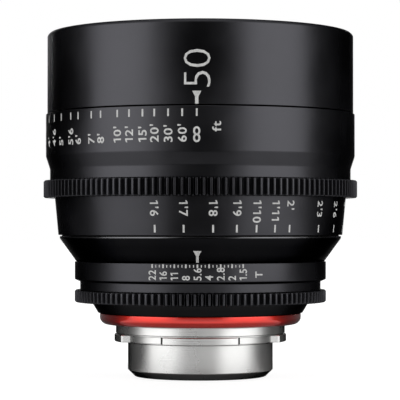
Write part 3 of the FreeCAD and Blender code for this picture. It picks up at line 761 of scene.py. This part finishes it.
def mount_profile(edge):
    """The mount's section where its flange reaches to the radius edge, with broken corners."""
    groove_top = NECK_START + GROOVE_HEIGHT
    return [
        (TUBE_BORE, 0.3), (TUBE_BORE + 0.3, 0),
        (CHAMFER_RADIUS, 0), (CHAMFER_RADIUS + 0.25, 0.1),
        (TUBE_RADIUS - 0.1, CHAMFER_TOP - 0.2), (TUBE_RADIUS, CHAMFER_TOP),
        (TUBE_RADIUS, FLANGE_SEAT - RELIEF_DEPTH - 0.15),
        (RELIEF_RADIUS, FLANGE_SEAT - RELIEF_DEPTH), (RELIEF_RADIUS, FLANGE_SEAT),
        (edge - 0.18, FLANGE_SEAT), (edge, FLANGE_SEAT + 0.18),
        (edge, NECK_START - 0.25), (edge - 0.25, NECK_START),
        (GROOVE_RADIUS, NECK_START), (GROOVE_RADIUS, groove_top),
        (NECK_RADIUS, groove_top + 0.25),
        (NECK_RADIUS, HUB_LOW), (TUBE_BORE, HUB_LOW),
    ]


def mount_piece(material):
    """The mount: tube, winged flange with the locating notch, and neck."""
    columns = [mount_profile(flange_edge(360 * step / MOUNT_STEPS)) for step in range(MOUNT_STEPS)]
    rings = [[polar(math.tau * step / MOUNT_STEPS, *corner) for step, corner in enumerate(row)]
             for row in zip(*columns)]
    mesh = closed_mesh("lens_mount_shell", rings)
    mesh.shade_smooth()
    mesh.set_sharp_from_angle(angle=math.radians(20))
    piece = place("lens_mount_shell", mesh)
    assign(piece, material)
    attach(piece, "housing")
    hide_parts("lens_mount")


def barrel_piece(material):
    """The main barrel as in the frame, with its sharp edges broken."""
    piece = frame["nodes"]["main_barrel"]
    assign(piece, material)
    weld = piece.modifiers.new("weld", "WELD")
    weld.merge_threshold = 0.002 * MM
    bevel = piece.modifiers.new("edges", "BEVEL")
    bevel.width = 0.15 * MM
    bevel.segments = 2
    bevel.limit_method = "ANGLE"
    bevel.angle_limit = math.radians(30)
    bevel.harden_normals = True


# The studio. Lengths are in metres, and azimuth 0 is the camera's side.

CAMERA_DISTANCE = 0.700
CAMERA_HEIGHT = 0.0550
CAMERA_AIM = 0.06548
CAMERA_SIDE = -0.00013
FOCAL_PIXELS = 1873
IMAGE_PIXELS = 400
SENSOR_WIDTH = 36

LIT_HEIGHT = 0.065
# Name, azimuth, elevation, distance, width, height, and power in watts.
LIGHTS = (
    ("left_light", -60, 8, 1.0, 0.90, 0.8, 5.0),
    ("right_light", 57, 8, 1.0, 0.90, 0.8, 5.0),
    ("rear_left_light", -150, 25, 1.3, 0.3, 0.9, 4),
    ("rear_right_light", 140, 25, 1.3, 0.3, 0.9, 4),
)

# Cards: name, first and last azimuth, (radius, height) of the profile, and tone.
FRONT_CARD = ((0.118, 0.028), (0.36, 0.0004), (1.7, 0.0004), (1.7, 1.2))
SIDE_CARD = ((0.03, 0.0004), (1.7, 0.0004), (1.7, 1.2))
CARDS = (
    ("front_card", -24, 24, FRONT_CARD, 0.02),
    ("left_card", -165, -84, SIDE_CARD, 0.10),
    ("right_card", 84, 165, SIDE_CARD, 0.10),
)
CARD_STEPS = 12

FILL_STRENGTH = 0.4
FLOOR_SIZE = 6.0
FLOOR_DROP = 0.0002
FLOOR_TONE = 0.86
FLOOR_GLOW = 1.22
# The share of the glow that the camera sees, and the radii between which mirrors begin to see it;
# nearer the axis this is painted shade.
GLOW_SEEN = 0.72
GLOW_START, GLOW_FULL = 0.055, 0.080
MATT = 0.9


def camera():
    """The photograph's view: near, and a little below the lens's middle."""
    data = bpy.data.cameras.new("camera")
    data.lens = SENSOR_WIDTH * FOCAL_PIXELS / IMAGE_PIXELS
    data.sensor_width = SENSOR_WIDTH
    data.clip_start = 0.05
    holder = place("camera", data)
    holder.location = (CAMERA_SIDE, -CAMERA_DISTANCE, CAMERA_HEIGHT)
    look = Vector((CAMERA_SIDE, 0, CAMERA_AIM)) - holder.location
    holder.rotation_euler = look.to_track_quat("-Z", "Y").to_euler()
    bpy.context.scene.camera = holder


def soft_light(name, azimuth, elevation, distance, width, height, power):
    """A wide soft light aimed at the middle of the lens."""
    data = bpy.data.lights.new(name, "AREA")
    data.shape = "RECTANGLE"
    data.size, data.size_y = width, height
    data.energy = power
    holder = place(name, data)
    a, e = math.radians(azimuth), math.radians(elevation)
    away = Vector((math.sin(a) * math.cos(e), -math.cos(a) * math.cos(e), math.sin(e)))
    holder.location = Vector((0, 0, LIT_HEIGHT)) + away * distance
    holder.rotation_euler = away.to_track_quat("Z", "Y").to_euler()


def dark_card(name, first, last, profile, tone):
    """A dark card that follows a profile round part of the studio, for mirrored rays only."""
    verts = []
    for radius, z in profile:
        for step in range(CARD_STEPS + 1):
            a = math.radians(first + (last - first) * step / CARD_STEPS)
            verts.append((radius * math.sin(a), -radius * math.cos(a), z))
    count = CARD_STEPS + 1
    mesh = bpy.data.meshes.new(name)
    mesh.from_pydata(verts, [], [(row * count + i, row * count + i + 1,
                                  (row + 1) * count + i + 1, (row + 1) * count + i)
                                 for row in range(len(profile) - 1) for i in range(CARD_STEPS)])
    piece = place(name, mesh)
    material, _, shader = material_nodes(name)
    shader.inputs["Base Color"].default_value = (tone, tone, tone, 1)
    shader.inputs["Roughness"].default_value = MATT
    piece.data.materials.append(material)
    piece.visible_camera = False
    piece.visible_diffuse = False
    piece.visible_shadow = False


def shown_rays(tree):
    """A share for the camera's rays, and one for those, mirrored rays and refracted ones."""
    path = node(tree, "ShaderNodeLightPath")
    straight = path.outputs["Is Camera Ray"]
    seen = maths(tree, "MAXIMUM", straight, path.outputs["Is Glossy Ray"])
    return straight, maths(tree, "MAXIMUM", seen, path.outputs["Is Transmission Ray"])


def world():
    """White where it is seen, mirrored or shines through, and a plain grey fill elsewhere."""
    made = bpy.data.worlds.new("studio")
    made.use_nodes = True
    tree = made.node_tree
    background = tree.nodes["Background"]
    _, shown = shown_rays(tree)
    background.inputs["Color"].default_value = (1, 1, 1, 1)
    tree.links.new(spread(tree, shown, FILL_STRENGTH, 1.0), background.inputs["Strength"])
    bpy.context.scene.world = made


def floor():
    """A pale floor that shows nearly white and keeps the lens's shadow."""
    mesh = bpy.data.meshes.new("floor")
    mesh.from_pydata([(x * FLOOR_SIZE, y * FLOOR_SIZE, 0)
                      for x, y in ((-1, -1), (1, -1), (1, 1), (-1, 1))], [], [(0, 1, 2, 3)])
    piece = place("floor", mesh)
    material, tree, shader = material_nodes("pale_floor")
    shader.inputs["Base Color"].default_value = (FLOOR_TONE, FLOOR_TONE, FLOOR_TONE, 1)
    shader.inputs["Roughness"].default_value = MATT
    straight, shown = shown_rays(tree)
    # Painted shade: towards the axis the glow fades out between GLOW_FULL and GLOW_START, so
    # mirrored rays see the floor round the lens darker, a ring standing in for the lens's shadow.
    away = node(tree, "ShaderNodeVectorMath", {0: spot(tree)}, operation="LENGTH")
    clear = spread(tree, away.outputs["Value"], 0.0, 1.0, GLOW_START, GLOW_FULL)
    lit = maths(tree, "MAXIMUM", clear, maths(tree, "MULTIPLY", straight, GLOW_SEEN))
    glow = node(tree, "ShaderNodeEmission", {"Color": (1, 1, 1, 1), "Strength": FLOOR_GLOW})
    both = node(tree, "ShaderNodeMixShader", {0: maths(tree, "MULTIPLY", shown, lit),
                                              1: shader.outputs[0], 2: glow.outputs[0]})
    tree.links.new(both.outputs[0], tree.nodes["Material Output"].inputs["Surface"])
    piece.data.materials.append(material)
    piece.location.z = -FLOOR_DROP


bpy.context.scene.view_settings.view_transform = "Standard"
camera()
world()
floor()
for light in LIGHTS:
    soft_light(*light)
for card in CARDS:
    dark_card(*card)

black = metal("black_anodised", dark=(0.0350, 0.0348, 0.0382), light=(0.0424, 0.0422, 0.0465),
              roughness=0.33, grain=0.25, lines=0.12, tint=EDGE_TINT)
# Painted shade: the cover gets a darker black than the rings' anodising, standing in for the shade
# on its downward-sloping taper.
painted_shade_cover_black = metal("black_cover_painted_shade", dark=(0.0150, 0.0150, 0.0156), light=(0.0185, 0.0185, 0.0195),
                    roughness=0.33, grain=0.25, lines=0.12, tint=EDGE_TINT)
gloss_black = barrel_black()
felt = felt_black()
red = anodised_red()
steel_material = steel()
white_paint = paint("white_paint", (0.62, 0.62, 0.61))
dark_steel = metal("blackened_steel", dark=(0.05, 0.05, 0.055), light=(0.08, 0.08, 0.085),
                   roughness=0.3, grain=0.1, lines=0.1)
bronze = metal("turned_bronze", dark=(0.45, 0.30, 0.13), light=(0.55, 0.38, 0.18),
               roughness=0.35, grain=0.1, lines=0.3, tint=(1, 1, 1))
coated = glass()

SLOT_MATERIALS = {
    "black_anodised": black, "red_anodised": red, "stainless": steel_material,
    "coated_glass": coated, "shoe_brass": bronze, "blade_steel": dark_steel,
}
for row in frame["record"]["subparts"]:
    assign(frame["nodes"][row["node"]], SLOT_MATERIALS[row["material_slot"]])

front_piece(black)
focus_piece(black)
iris_piece(black)
hub_piece(painted_shade_cover_black)
red_piece(red)
seal_piece(felt)
barrel_piece(gloss_black)
mount_piece(steel_material)

upper_marks, lower_marks = focus_marks()
near_index = index_mark(2.8, 0.9, CONE_LOW + 0.15, 47.0)
far_index = index_mark(3.0, 0.9, 47.2, 50.9)
front_index = index_mark(3.1, 1.15, FRONT_LOW + 0.15, 102.2)
focal_length = text_faces("50", *FOCAL_TEXT, weight=-0.016, gap=0.09)
MARKS = (
    ("distance_marks_upper", "focus_ring", upper_marks, upper_surface),
    ("distance_marks_lower", "focus_ring", lower_marks, lower_surface),
    ("iris_marks_near", "iris_ring", iris_marks(INDEX_AZIMUTH), iris_surface),
    ("iris_marks_far", "iris_ring", iris_marks(FAR_AZIMUTH), iris_surface),
    ("cone_index_near", "housing", [(INDEX_AZIMUTH, near_index)], cone_surface),
    ("cone_index_far", "housing", [(FAR_AZIMUTH, far_index)], cone_surface),
    ("front_index", "housing", [(INDEX_AZIMUTH, front_index)], front_surface),
    ("focal_length_mark", "housing", [(INDEX_AZIMUTH, focal_length)], front_surface),
)
for mark_name, body, outlines, surface in MARKS:
    piece = wrapped(mark_name, outlines, surface)
    assign(piece, white_paint)
    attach(piece, body)
